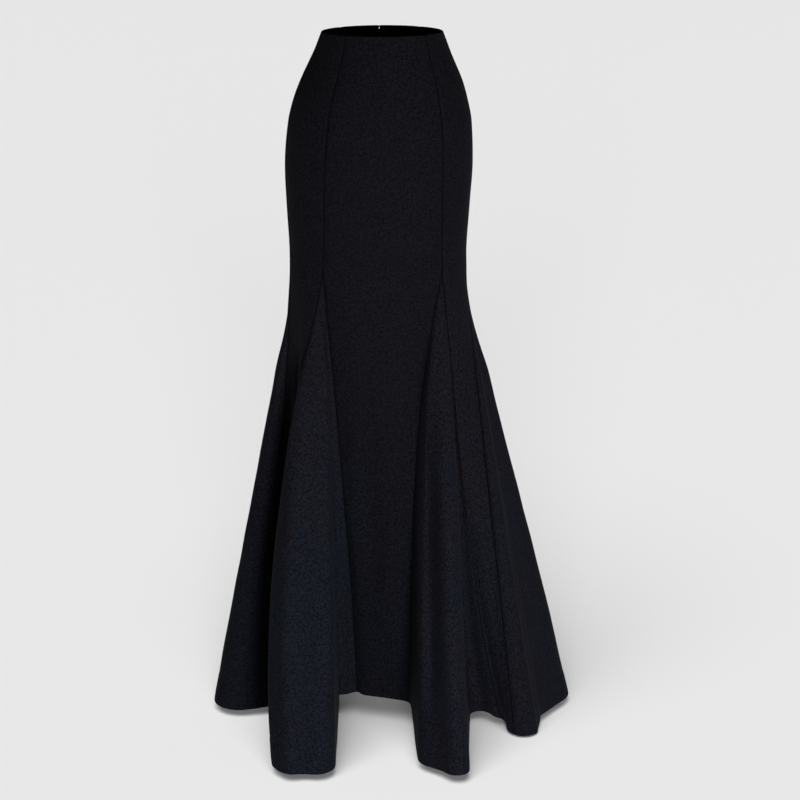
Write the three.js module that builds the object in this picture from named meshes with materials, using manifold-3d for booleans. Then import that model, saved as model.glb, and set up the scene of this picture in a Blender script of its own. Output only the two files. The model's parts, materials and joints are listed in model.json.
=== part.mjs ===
// A floor-length mermaid skirt with a fishtail hem, as a three.js scene in millimetres, +Z up.
//
// The skirt keeps the hollow form that it has when it is worn. It is cut from seven panels that fit
// closely to the thigh. A godet, a narrow fan of cloth, is set into each princess and side seam, and
// the six godets fall in deep flutes to the hem. An invisible zip closes the centre back seam.
//
// The origin is the centre of the waist opening. The front faces -Y, and left and right are as seen
// from the front, so +X is on the right. Every piece is a wall of cloth between two faces, and
// neighbouring pieces lie a seam gap apart.
import * as THREE from "three";
import Module from "manifold-3d";
import { mergeVertices } from "three/addons/utils/BufferGeometryUtils.js";

const LENGTH = 1170; // waist edge to hem, at the sides
const CLOTH = 1.5; // thickness of the cloth
const SEAM_GAP = 0.3; // between two pieces that are sewn together
const RIDGE = 1; // the hem turns round this circle with the circle inside the skirt
const VALLEY = -1; // and here with the circle outside it

// The close-fitting part, from the waist to the thigh, in level sections. Each is an oval of the
// given half width and of the given depth in front of and behind its centre, which lies "shift" to
// the right of the origin. "seam" is the princess seams' turn from the centre front, in degrees.
const BODY = [
  { z: 0, half: 96, front: 76, back: 80, shift: 0, seam: 41 },
  { z: -34, half: 110, front: 83, back: 89, shift: -0.5, seam: 39.5 },
  { z: -78, half: 129.5, front: 91, back: 101, shift: -1.5, seam: 38.5 },
  { z: -110, half: 140, front: 96, back: 110, shift: -3, seam: 38.5 },
  { z: -142, half: 147, front: 99, back: 117, shift: -4, seam: 38.5 },
  { z: -206, half: 151, front: 102, back: 125, shift: -6, seam: 39 },
  { z: -272, half: 148.5, front: 102, back: 122, shift: -7, seam: 40 },
  { z: -338, half: 144.5, front: 101, back: 115, shift: -7.5, seam: 41.5 },
  { z: -400, half: 144.5, front: 101, back: 113, shift: -8, seam: 43 },
];

// The hem seen from above, counterclockwise from the left corner of the centre front. It runs round
// these circles and straight from each to the next. "lift" raises the hem above its level.
const FOLDS = [
  { at: "front hollow, left corner", bend: VALLEY, x: -57, y: -32, r: 22, lift: 30 },
  { at: "front hollow, right corner", bend: VALLEY, x: 20, y: -62, r: 22, lift: 30 },
  { at: "right front flute, inner corner", bend: RIDGE, x: 77, y: -203, r: 34, lift: 0 },
  { at: "right front flute, tip", bend: RIDGE, x: 103, y: -240, r: 21, lift: 0 },
  { at: "hollow beside the right front flute", bend: VALLEY, x: 163, y: -58, r: 18, lift: 4 },
  { at: "small right flute", bend: RIDGE, x: 234, y: -86, r: 27, lift: -10 },
  { at: "dip beside the small flute", bend: VALLEY, x: 283, y: -64, r: 16, lift: 0 },
  { at: "right side flute", bend: RIDGE, x: 276, y: 38, r: 54, lift: 0 },
  { at: "right back hollow", bend: VALLEY, x: 236, y: 142, r: 20, lift: 10 },
  { at: "right back flute, outer corner", bend: RIDGE, x: 214, y: 226, r: 36, lift: -6 },
  { at: "right back flute, inner corner", bend: RIDGE, x: 158, y: 258, r: 34, lift: -8 },
  { at: "centre back hollow, right", bend: VALLEY, x: 92, y: 112, r: 24, lift: 8 },
  { at: "centre back fold", bend: RIDGE, x: 14, y: 66, r: 62, lift: 4 },
  { at: "centre back hollow, left", bend: VALLEY, x: -74, y: 118, r: 20, lift: 8 },
  { at: "left back flute, inner corner", bend: RIDGE, x: -146, y: 246, r: 40, lift: -10 },
  { at: "left back flute, outer corner", bend: RIDGE, x: -206, y: 214, r: 32, lift: -6 },
  { at: "left back hollow", bend: VALLEY, x: -234, y: 142, r: 18, lift: 6 },
  { at: "left side flute, back corner", bend: RIDGE, x: -262, y: 84, r: 33, lift: 0 },
  { at: "left side flute, front corner", bend: RIDGE, x: -249, y: 48, r: 47, lift: 0 },
  { at: "hollow beside the left front flute", bend: VALLEY, x: -176, y: -4, r: 14, lift: 4 },
  { at: "left front flute, outer corner", bend: RIDGE, x: -158, y: -202, r: 40, lift: 0 },
  { at: "left front flute, inner corner", bend: RIDGE, x: -126, y: -214, r: 33, lift: 0 },
];

// The seams, counterclockwise. A godet's point is on the body at "turn" degrees from the centre
// front and "top" high. At the hem it reaches from the place nearest to "from" to the one nearest
// to "to", where the next panel starts. "face" is the way the flute points, in degrees from +X.
// "spreadFrom" and "spreadTo" say how early the seams go sideways to their places at the hem, and
// "fall" how early the flute stands out: two steps of a cubic easing, 0.33 and 0.67 for a straight
// line. The centre back seam has no godet, so its two places are one.
const SEAMS = [
  {
    godet: "godet_front_right", turn: 43, top: -365, face: -88, fall: [0.2, 0.62],
    from: [42, -78], to: [190, -70], spreadFrom: [1.15, 1.0], spreadTo: [0.33, 0.35],
  },
  {
    godet: "godet_side_right", turn: 82, top: -380, face: -2, fall: [0.32, 0.68],
    from: [213, -110], to: [222, 128], spreadFrom: [0.45, 0.7], spreadTo: [0.4, 0.75],
  },
  {
    godet: "godet_back_right", turn: 138, top: -378, face: 62, fall: [0.22, 0.64],
    from: [222, 176], to: [98, 90], spreadFrom: [0.6, 0.9], spreadTo: [0.6, 0.9],
  },
  {
    godet: null, turn: 180, top: -370, face: 90, fall: [0.25, 0.66],
    from: [12, 128], to: [12, 128], spreadFrom: [0.4, 0.7], spreadTo: [0.4, 0.7],
  },
  {
    godet: "godet_back_left", turn: 222, top: -378, face: 117, fall: [0.22, 0.64],
    from: [-78, 98], to: [-216, 166], spreadFrom: [0.6, 0.9], spreadTo: [0.6, 0.9],
  },
  {
    godet: "godet_side_left", turn: 279, top: -380, face: 182, fall: [0.3, 0.67],
    from: [-224, 126], to: [-202, 12], spreadFrom: [0.4, 0.75], spreadTo: [0.6, 0.9],
  },
  {
    godet: "godet_front_left", turn: 320, top: -365, face: 268, fall: [0.2, 0.62],
    from: [-182, -90], to: [-49, -12], spreadFrom: [0.85, 1.35], spreadTo: [0.5, 0.8],
  },
];
const PANELS = [
  "side_front_right",
  "side_back_right",
  "back_right",
  "back_left",
  "side_back_left",
  "side_front_left",
  "front",
]; // each lies between the seam of the same row above and the next one

// Grid of the walls
const BODY_STEPS = [0, 0.04, 0.09, 0.16, 0.25, 0.36, 0.48, 0.61, 0.75, 0.88, 1]; // waist to godet points
const FLARE_STEPS = [0.025, 0.06, 0.11, 0.18, 0.27, 0.38, 0.51, 0.66, 0.82, 1];
const PANEL_COLUMNS = 7;
const GODET_COLUMNS = 17;
const BEND_LENGTH = 70; // a radian of bend in the hem counts as this much length when columns are spaced
const FLARE_SOFTNESS = 0.03; // how softly the flare starts under the godets' points
const FLAT_END = 0.24; // a godet's flute has its full roundness from this step of the flare down
const FRONT_SEAMS = 60; // seams within this turn of the centre front are the front princess seams
const STEP = 1e-3; // for finite differences

// The zip, in the centre back seam
const TAPE_WIDTH = 12;
const TAPE_THICKNESS = 0.8;
const TAPE_ROWS = 8; // rows of the back panels that the tapes reach over
const TAPE_START = 0.25; // the tapes start at this share of the first of them
const PARTING = 1.5; // half the gap that the slider's neck needs in the seam
const PARTING_END = -16; // the seam is closed again from here down
const SLIDER_Z = -9;
const SLIDER = { width: 7, height: 9, depth: 2.6 };
const NECK = { width: 1.1, height: 3.4 };
const RING = { radius: 1.75, wire: 0.45 };
const RING_REACH = 3.3; // from the cloth to the ring's centre
const PULL = { length: 25, width: 5.4, thickness: 1, barRadius: 0.5, eyeWidth: 1.7, eyeEnd: 2.9 };
const PULL_TILT = 9.4; // degrees that the pull hangs away from plumb, with its tip on the cloth

const crepe = new THREE.MeshStandardMaterial({ color: 0x17171d, roughness: 0.9, metalness: 0 });
const tape = new THREE.MeshStandardMaterial({ color: 0x101013, roughness: 0.85, metalness: 0 });
const lacquer = new THREE.MeshStandardMaterial({ color: 0x121214, roughness: 0.35, metalness: 0.6 });

const wasm = await Module();
wasm.setup();

const radians = THREE.MathUtils.degToRad;
const mix = THREE.MathUtils.lerp;

// ---------------------------------------------------------------- the close-fitting part

// A column of the body table at height z, on a smooth curve through its rows.
function bodySize(z, name) {
  let k = 0;
  while (k < BODY.length - 2 && z < BODY[k + 1].z) k += 1;
  const slope = (i) => {
    const before = BODY[Math.max(i - 1, 0)];
    const after = BODY[Math.min(i + 1, BODY.length - 1)];
    return (after[name] - before[name]) / (after.z - before.z);
  };
  const span = BODY[k + 1].z - BODY[k].z;
  const t = (z - BODY[k].z) / span;
  const start = BODY[k][name] * (1 + 2 * t) * (1 - t) ** 2 + slope(k) * span * t * (1 - t) ** 2;
  const end = BODY[k + 1][name] * t * t * (3 - 2 * t) + slope(k + 1) * span * t * t * (t - 1);
  return start + end;
}

// The point of the body at a turn in degrees from the centre front, and at height z.
function bodyPoint(turn, z) {
  const a = radians(turn);
  const depth = bodySize(z, Math.cos(a) > 0 ? "front" : "back");
  const x = bodySize(z, "shift") + bodySize(z, "half") * Math.sin(a);
  return new THREE.Vector3(x, -depth * Math.cos(a), z);
}

// ---------------------------------------------------------------- the hem

// The hem as a list of arcs and straights, each with its start, length and lifts.
function traceHem() {
  const count = FOLDS.length;
  const tangents = FOLDS.map((fold, i) => {
    const next = FOLDS[(i + 1) % count];
    const dx = next.x - fold.x;
    const dy = next.y - fold.y;
    const grow = next.bend * next.r - fold.bend * fold.r;
    return Math.atan2(dy, dx) - Math.asin(grow / Math.hypot(dx, dy));
  });
  const onCircle = (fold, heading) =>
    new THREE.Vector2(
      fold.x + fold.bend * fold.r * Math.sin(heading),
      fold.y - fold.bend * fold.r * Math.cos(heading),
    );
  const stretches = [];
  let start = 0;
  FOLDS.forEach((fold, i) => {
    const arrive = tangents[(i + count - 1) % count];
    const full = 2 * Math.PI;
    const bend = ((((tangents[i] - arrive) * fold.bend) % full) + full) % full;
    stretches.push({ start, length: bend * fold.r, fold, arrive, lift: fold.lift, nextLift: fold.lift });
    start += bend * fold.r;
    const next = FOLDS[(i + 1) % count];
    const from = onCircle(fold, tangents[i]);
    const to = onCircle(next, tangents[i]);
    const length = from.distanceTo(to);
    stretches.push({ start, length, from, to, heading: tangents[i], lift: fold.lift, nextLift: next.lift });
    start += length;
  });
  return { stretches, total: start, onCircle };
}

const hem = traceHem();

// The hem's point and heading at a length along it.
function hemAt(along) {
  const length = ((along % hem.total) + hem.total) % hem.total;
  const piece = hem.stretches.findLast((stretch) => stretch.start <= length);
  const part = length - piece.start;
  const share = piece.length > 0 ? part / piece.length : 0;
  const lift = mix(piece.lift, piece.nextLift, THREE.MathUtils.smoothstep(share, 0, 1));
  if (piece.fold) {
    const heading = piece.arrive + (piece.fold.bend * part) / piece.fold.r;
    return { point: hem.onCircle(piece.fold, heading), heading, z: lift - LENGTH };
  }
  return { point: piece.from.clone().lerp(piece.to, share), heading: piece.heading, z: lift - LENGTH };
}

// The length along the hem of its place nearest to (x, y).
function hemNear([x, y]) {
  const target = new THREE.Vector2(x, y);
  let best = 0;
  for (let along = 0; along < hem.total; along += 1) {
    if (hemAt(along).point.distanceTo(target) < hemAt(best).point.distanceTo(target)) best = along;
  }
  return best;
}

// ---------------------------------------------------------------- the pieces and their fall lines

// A fall line runs from the waist over the body to the flare, and on to the hem. A piece is all the
// lines between its first edge and its last one.
function listPieces() {
  const edges = SEAMS.map((seam) => ({ ...seam, start: hemNear(seam.from), end: hemNear(seam.to) }));
  const pieces = [];
  let last = -Infinity;
  const onward = (along) => {
    let unwrapped = along;
    while (unwrapped < last) unwrapped += hem.total;
    last = unwrapped;
    return unwrapped;
  };
  edges.forEach((edge, i) => {
    const base = { turn: edge.turn, top: edge.top, face: edge.face, fall: edge.fall };
    const first = { ...base, along: onward(edge.start), spread: edge.spreadFrom };
    const second = { ...base, along: onward(edge.end), spread: edge.spreadTo };
    if (edge.godet) pieces.push({ name: edge.godet, first, second, godet: true });
    const next = edges[(i + 1) % edges.length];
    const round = i + 1 === edges.length ? 360 : 0;
    const wrap = i + 1 === edges.length ? hem.total : 0;
    const after = {
      turn: next.turn + round,
      top: next.top,
      face: next.face + round,
      fall: next.fall,
      along: next.start + wrap,
      spread: next.spreadFrom,
    };
    pieces.push({ name: PANELS[i], first: second, second: after, godet: false });
  });
  return pieces;
}

const pieces = listPieces();
const pairMix = (a, b, share) => [mix(a[0], b[0], share), mix(a[1], b[1], share)];

// Cubic easing from 0 to 1 with the two given steps, after a soft start.
function easing(t, [early, late]) {
  const s = (t * t * (1 + FLARE_SOFTNESS)) / (t + FLARE_SOFTNESS);
  return 3 * (1 - s) * (1 - s) * s * early + 3 * (1 - s) * s * s * late + s ** 3;
}

// The point of a piece's fall line at a share of its width, and at t of the flare: 0 at its top and
// 1 at the hem. Its way sideways and its way out are eased apart.
function fallPoint({ first, second }, share, t) {
  const face = radians(mix(first.face, second.face, share));
  const out = new THREE.Vector3(Math.cos(face), Math.sin(face), 0);
  const aside = new THREE.Vector3(-Math.sin(face), Math.cos(face), 0);
  const start = bodyPoint(mix(first.turn, second.turn, share), mix(first.top, second.top, share));
  const end = hemAt(mix(first.along, second.along, share));
  const way = new THREE.Vector3(end.point.x - start.x, end.point.y - start.y, 0);
  return start
    .clone()
    .addScaledVector(out, way.dot(out) * easing(t, pairMix(first.fall, second.fall, share)))
    .addScaledVector(aside, way.dot(aside) * easing(t, pairMix(first.spread, second.spread, share)))
    .setZ(mix(start.z, end.z, t));
}

// The point of a piece. Under its point a godet is flat from seam to seam, and its flute rounds out
// further down.
function flarePoint(piece, share, t) {
  const folded = fallPoint(piece, share, t);
  if (!piece.godet) return folded;
  const flat = fallPoint(piece, 0, t).lerp(fallPoint(piece, 1, t), share);
  return flat.lerp(folded, THREE.MathUtils.smoothstep(t, 0, FLAT_END));
}

// A place on the surface: its point, its outward normal and the way down along the fall line, from
// four points close by. Across is counterclockwise.
function placeOf(point, [left, right], [above, below]) {
  const across = right.clone().sub(left);
  const down = below.clone().sub(above).normalize();
  return { point, down, normal: down.clone().cross(across).normalize() };
}

function bodyPlace(turn, z) {
  const sides = [bodyPoint(turn - 1, z), bodyPoint(turn + 1, z)];
  return placeOf(bodyPoint(turn, z), sides, [bodyPoint(turn, Math.min(z + 1, 0)), bodyPoint(turn, z - 1)]);
}

function flarePlace(piece, share, t) {
  const at = (s, v) => flarePoint(piece, s, v);
  const sides = [at(Math.max(share - STEP, 0), t), at(Math.min(share + STEP, 1), t)];
  return placeOf(at(share, t), sides, [at(share, Math.max(t - STEP, STEP)), at(share, Math.min(t + STEP, 1))]);
}

// At a seam both pieces use the mean of their normals, so that their edges stay parallel.
function piecePlace(index, share, t) {
  const own = flarePlace(pieces[index], share, t);
  if (share > 0 && share < 1) return own;
  const count = pieces.length;
  const other = pieces[(index + (share === 0 ? count - 1 : 1)) % count];
  own.normal.add(flarePlace(other, 1 - share, t).normal).normalize();
  return own;
}

// ---------------------------------------------------------------- walls of cloth

// A closed wall under a grid of points, rows from top to bottom and columns counterclockwise. Each
// point has its outward normal. The wall lies between "inset" and "inset + thickness" under them.
function wall(grid, inset, thickness) {
  const rows = grid.length;
  const columns = grid[0].length;
  const positions = [];
  for (const depth of [inset, inset + thickness]) {
    for (const { point, normal } of grid.flat()) {
      positions.push(...point.clone().addScaledVector(normal, -depth).toArray());
    }
  }
  const indices = [];
  const inner = rows * columns;
  const quad = (a, b, c, d) => indices.push(a, b, c, a, c, d);
  for (let i = 0; i < rows - 1; i += 1) {
    for (let j = 0; j < columns - 1; j += 1) {
      const a = i * columns + j;
      quad(a, a + columns, a + columns + 1, a + 1);
      quad(inner + a, inner + a + 1, inner + a + columns + 1, inner + a + columns);
    }
  }
  for (let j = 0; j < columns - 1; j += 1) {
    const bottom = (rows - 1) * columns + j;
    quad(j, j + 1, inner + j + 1, inner + j);
    quad(bottom, inner + bottom, inner + bottom + 1, bottom + 1);
  }
  for (let i = 0; i < rows - 1; i += 1) {
    const a = i * columns;
    const b = a + columns - 1;
    quad(a, inner + a, inner + a + columns, a + columns);
    quad(b, b + columns, inner + b + columns, inner + b);
  }
  const geometry = new THREE.BufferGeometry();
  geometry.setAttribute("position", new THREE.Float32BufferAttribute(positions, 3));
  geometry.setIndex(indices);
  return geometry;
}

// Moves the points of the two side edges in, square to the edge, to leave the gap of the seam.
function trim(grid, firstGap, lastGap) {
  const inward = ({ normal, down }) => normal.clone().cross(down).normalize();
  grid.forEach((row) => {
    const first = row[0];
    const last = row[row.length - 1];
    first.point.addScaledVector(inward(first), firstGap(first.point.z));
    last.point.addScaledVector(inward(last), -lastGap(last.point.z));
  });
  return grid;
}

const plainGap = () => SEAM_GAP / 2;
// The centre back seam parts at the top, round the neck of the zip's slider.
const zipGap = (z) => mix(SEAM_GAP / 2, PARTING, THREE.MathUtils.smoothstep(z, PARTING_END, SLIDER_Z - 3));

function panelGrid(index) {
  const { first, second } = pieces[index];
  const shares = Array.from({ length: PANEL_COLUMNS + 1 }, (_, j) => j / PANEL_COLUMNS);
  const onBody = (step) => (share) => {
    const z = step * mix(first.top, second.top, share);
    return bodyPlace(mix(seamTurn(first, z), seamTurn(second, z), share), z);
  };
  const bodyRows = BODY_STEPS.map((step) => shares.map(onBody(step)));
  const flareRows = FLARE_STEPS.map((t) => shares.map((share) => piecePlace(index, share, t)));
  return [...bodyRows, ...flareRows];
}

// The turn of a seam at height z. The front princess seams bend a little; the others run straight.
function seamTurn(edge, z) {
  const drift = bodySize(z, "seam") - bodySize(edge.top, "seam");
  const fromFront = THREE.MathUtils.euclideanModulo(edge.turn + 180, 360) - 180;
  if (Math.abs(fromFront) > FRONT_SEAMS) return edge.turn;
  return edge.turn + Math.sign(fromFront) * drift;
}

// Shares of a godet's width at which its columns stand: closer together where the hem bends.
function godetShares(piece) {
  const samples = 240;
  const bendBy = [0];
  for (let k = 1; k <= samples; k += 1) {
    const before = hemAt(mix(piece.first.along, piece.second.along, (k - 1) / samples));
    const here = hemAt(mix(piece.first.along, piece.second.along, k / samples));
    const turned = Math.abs(Math.sin((here.heading - before.heading) / 2)) * 2;
    bendBy.push(bendBy[k - 1] + here.point.distanceTo(before.point) + BEND_LENGTH * turned);
  }
  return Array.from({ length: GODET_COLUMNS + 1 }, (_, j) => {
    const wanted = (bendBy[samples] * j) / GODET_COLUMNS;
    const k = Math.max(1, bendBy.findIndex((value) => value >= wanted - 1e-9));
    return (k - 1 + (wanted - bendBy[k - 1]) / (bendBy[k] - bendBy[k - 1])) / samples;
  });
}

function godetGrid(index) {
  const shares = godetShares(pieces[index]);
  shares[0] = 0;
  shares[GODET_COLUMNS] = 1;
  return FLARE_STEPS.map((t) => shares.map((share) => piecePlace(index, share, t)));
}

function namedMesh(name, geometry, material) {
  const mesh = new THREE.Mesh(geometry, material);
  mesh.name = name;
  return mesh;
}

const skirt = new THREE.Group();
skirt.name = "mermaid_skirt";
const grids = new Map();
pieces.forEach((piece, index) => {
  const grid = piece.godet ? godetGrid(index) : panelGrid(index);
  const firstGap = piece.name === "back_left" ? zipGap : plainGap;
  const lastGap = piece.name === "back_right" ? zipGap : plainGap;
  grids.set(piece.name, trim(grid, firstGap, lastGap));
  skirt.add(namedMesh(piece.name, wall(grid, 0, CLOTH), crepe));
});

// ---------------------------------------------------------------- the zip

// A tape lies under the inside of its back panel, along the seam. It is made from the panel's own
// points: "edge" is the panel's column at the seam and "beside" the next one.
function tapeMesh(name, panel, edge, beside) {
  const rows = grids.get(panel).slice(0, TAPE_ROWS);
  const between = (a, b, share) => ({
    point: a.point.clone().lerp(b.point, share),
    normal: a.normal.clone().lerp(b.normal, share).normalize(),
  });
  const strip = rows.map((row) => {
    const width = row.at(edge).point.distanceTo(row.at(beside).point);
    const pair = [row.at(edge), between(row.at(edge), row.at(beside), TAPE_WIDTH / width)];
    return edge === 0 ? pair : pair.reverse();
  });
  strip[0] = strip[0].map((place, j) => between(place, strip[1][j], TAPE_START));
  return namedMesh(name, wall(strip, CLOTH + SEAM_GAP, TAPE_THICKNESS), tape);
}
skirt.add(tapeMesh("zip_tape_right", "back_right", -1, -2));
skirt.add(tapeMesh("zip_tape_left", "back_left", 0, 1));

function toSolid(geometry) {
  const bare = geometry.clone();
  bare.deleteAttribute("normal");
  bare.deleteAttribute("uv");
  const merged = mergeVertices(bare, 1e-4);
  const vertProperties = new Float32Array(merged.attributes.position.array);
  const triVerts = new Uint32Array(merged.index.array);
  return new wasm.Manifold(new wasm.Mesh({ numProp: 3, vertProperties, triVerts }));
}

function toGeometry(solid) {
  const mesh = solid.getMesh();
  const geometry = new THREE.BufferGeometry();
  geometry.setAttribute("position", new THREE.Float32BufferAttribute(mesh.vertProperties, 3));
  geometry.setIndex(Array.from(mesh.triVerts));
  return geometry;
}

function box(width, depth, height, x, y, z) {
  return toSolid(new THREE.BoxGeometry(width, depth, height).translate(x, y, z));
}

// The slider is made upright with the cloth's outside at y = 0, and turned to lie along the cloth.
const { point: sliderSeat, normal: seatNormal } = bodyPlace(180, SLIDER_Z);
const seatSlope = Math.atan2(seatNormal.z, seatNormal.y);
const pivot = sliderSeat.clone().addScaledVector(seatNormal, RING_REACH);

// The slider's body lies inside the tapes. Its neck comes out through the parted seam and carries
// the ring, which stands upright and holds the pull.
function sliderMesh() {
  const under = CLOTH + SEAM_GAP + TAPE_THICKNESS + SEAM_GAP;
  const neckEnd = RING_REACH - RING.radius;
  const body = box(SLIDER.width, SLIDER.depth, SLIDER.height, 0, -under - SLIDER.depth / 2, 0);
  const neck = box(NECK.width, neckEnd + under + 1, NECK.height, 0, (neckEnd - under - 1) / 2, 0);
  const torus = new THREE.TorusGeometry(RING.radius, RING.wire, 8, 16);
  const ring = toSolid(torus.rotateY(Math.PI / 2).translate(0, RING_REACH, 0));
  const mesh = namedMesh("zip_slider", toGeometry(body.add(neck).add(ring)), lacquer);
  mesh.rotation.x = seatSlope;
  mesh.position.copy(sliderSeat);
  return mesh;
}

// The pull is a flat drop with an eye. The bar at the top of the eye passes through the ring.
function pullMesh() {
  const half = PULL.width / 2;
  const neckHalf = PULL.eyeWidth / 2 + 1;
  const drop = new THREE.Shape();
  drop.moveTo(-neckHalf, PULL.barRadius);
  drop.lineTo(-neckHalf, -PULL.eyeEnd - 1);
  drop.bezierCurveTo(-neckHalf, -9, -half, -12, -half, -PULL.length + half);
  drop.absarc(0, -PULL.length + half, half, Math.PI, 2 * Math.PI, false);
  drop.bezierCurveTo(half, -12, neckHalf, -9, neckHalf, -PULL.eyeEnd - 1);
  drop.lineTo(neckHalf, PULL.barRadius);
  const eye = new THREE.Path();
  eye.moveTo(-PULL.eyeWidth / 2, -PULL.barRadius);
  eye.lineTo(PULL.eyeWidth / 2, -PULL.barRadius);
  eye.lineTo(PULL.eyeWidth / 2, -PULL.eyeEnd);
  eye.lineTo(-PULL.eyeWidth / 2, -PULL.eyeEnd);
  drop.holes.push(eye);
  const plate = new THREE.ExtrudeGeometry(drop, {
    depth: PULL.thickness,
    bevelEnabled: false,
    curveSegments: 6,
  });
  const mesh = namedMesh("zip_pull", plate.translate(0, 0, -PULL.thickness / 2), lacquer);
  mesh.rotation.x = Math.PI / 2 + radians(PULL_TILT);
  mesh.position.copy(pivot);
  return mesh;
}
skirt.add(sliderMesh(), pullMesh());

export default skirt;
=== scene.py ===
import json
import math

import bpy
import numpy as np
from mathutils import Matrix, Vector


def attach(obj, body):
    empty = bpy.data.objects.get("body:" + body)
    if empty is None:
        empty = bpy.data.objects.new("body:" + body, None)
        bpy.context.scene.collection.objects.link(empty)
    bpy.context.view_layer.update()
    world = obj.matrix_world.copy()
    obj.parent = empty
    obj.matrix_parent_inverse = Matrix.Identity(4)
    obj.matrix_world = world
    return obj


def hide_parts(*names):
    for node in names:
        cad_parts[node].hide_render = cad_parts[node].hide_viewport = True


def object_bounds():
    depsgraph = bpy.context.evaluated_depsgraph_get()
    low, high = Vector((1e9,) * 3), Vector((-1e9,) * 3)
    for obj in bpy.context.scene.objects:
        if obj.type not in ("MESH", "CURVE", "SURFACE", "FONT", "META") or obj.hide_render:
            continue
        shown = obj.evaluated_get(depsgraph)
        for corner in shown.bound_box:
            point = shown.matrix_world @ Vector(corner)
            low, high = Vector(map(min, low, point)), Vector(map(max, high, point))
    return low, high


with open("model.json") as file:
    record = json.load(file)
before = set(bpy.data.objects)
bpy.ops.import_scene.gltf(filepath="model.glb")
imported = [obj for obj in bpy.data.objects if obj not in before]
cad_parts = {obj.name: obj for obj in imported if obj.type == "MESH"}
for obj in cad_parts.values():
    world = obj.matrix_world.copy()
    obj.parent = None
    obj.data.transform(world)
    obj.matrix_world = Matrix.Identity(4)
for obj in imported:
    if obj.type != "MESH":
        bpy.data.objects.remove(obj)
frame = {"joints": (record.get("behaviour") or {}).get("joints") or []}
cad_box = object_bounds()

# A floor-length mermaid skirt in black crepe, in metres. It repeats the surface of part.mjs at a
# finer step, and adds what the CAD leaves out: the rounded seams and edges, the turned-up hem and
# seam allowances inside, soft creases, the zip's coil, and the materials.

# ---------------------------------------------------------------- camera, floor and light

CAMERA_TURN = math.radians(-4)  # it stands a little to the left of the centre front
CAMERA_PITCH = math.radians(17.1)
CAMERA_DISTANCE, CAMERA_HEIGHT, CAMERA_ASIDE = 3.25, 0.39, 0.028
CAMERA_LENS = 91.8  # in millimetres
FLOOR_GAP = 0.003  # between the lowest hem and the floor
FLOOR_HALF = 40
BACKDROP, AMBIENT = 0.86, 0.03  # the world's strength as the camera sees it, and as the cloth does

scene = bpy.context.scene
scene.view_settings.view_transform = "Standard"


def link(name, data):
    obj = bpy.data.objects.new(name, data)
    scene.collection.objects.link(obj)
    return obj


def make_camera():
    camera = link("camera", bpy.data.cameras.new("camera"))
    right = Vector((math.cos(CAMERA_TURN), math.sin(CAMERA_TURN), 0))
    ahead = Vector((-math.sin(CAMERA_TURN), math.cos(CAMERA_TURN), 0))
    camera.location = right * CAMERA_ASIDE - ahead * CAMERA_DISTANCE + Vector((0, 0, CAMERA_HEIGHT))
    camera.rotation_euler = (math.pi / 2 - CAMERA_PITCH, 0, CAMERA_TURN)
    camera.data.lens = CAMERA_LENS
    scene.camera = camera


def add_sun(name, toward, strength, spread, colour):
    """A soft light from "toward": its azimuth to the right of the front, and its elevation."""
    azimuth, elevation = (math.radians(a) for a in toward)
    way = Vector((
        math.sin(azimuth) * math.cos(elevation),
        -math.cos(azimuth) * math.cos(elevation),
        math.sin(elevation),
    ))
    data = bpy.data.lights.new(name, "SUN")
    data.energy, data.angle, data.color = strength, math.radians(spread), colour
    light = link(name, data)
    light.rotation_euler = way.to_track_quat("Z", "Y").to_euler()
    return light


def add_softbox(name, place, aim, size, power, colour):
    data = bpy.data.lights.new(name, "AREA")
    data.shape = "RECTANGLE"
    data.size, data.size_y = size
    data.energy, data.color = power, colour
    light = link(name, data)
    light.location = place
    light.rotation_euler = (Vector(place) - Vector(aim)).to_track_quat("Z", "Y").to_euler()
    light.visible_camera = False
    return light


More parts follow.
